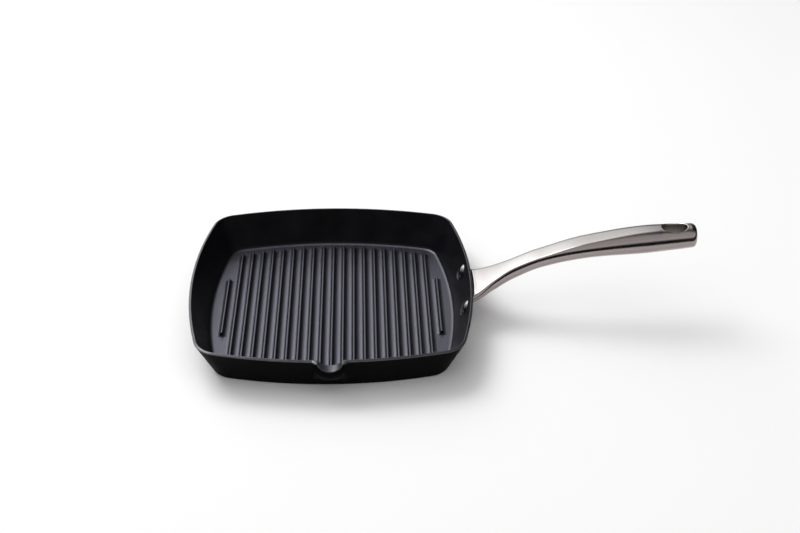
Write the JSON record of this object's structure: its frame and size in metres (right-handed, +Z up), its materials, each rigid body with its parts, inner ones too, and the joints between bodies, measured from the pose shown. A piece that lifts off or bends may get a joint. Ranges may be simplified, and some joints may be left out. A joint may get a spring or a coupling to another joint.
{
  "type": "grill pan",
  "caption": "Square cast grill pan with bowed sides, raised parallel ribs, a pouring spout and a long arched steel handle riveted to one side.",
  "frame": {"origin": "middle of the flat base, on the surface that the pan stands on", "axes": "+X towards the handle's end, -Y towards the pouring spout, +Z up through the open top"},
  "size_m": [0.4622, 0.2639, 0.0929],
  "materials": {
    "cast_iron_black": "fine-grained cast surface with a baked-on black seasoning, semi-matt",
    "stainless_satin": "finely brushed along the handle, close to a satin polish",
    "stainless_polished": "polished heads"
  },
  "bodies": {
    "root": {"pan_body": "cast_iron_black", "handle": "stainless_satin", "front_rivet": "stainless_polished", "rear_rivet": "stainless_polished"}
  },
  "joints": []
}
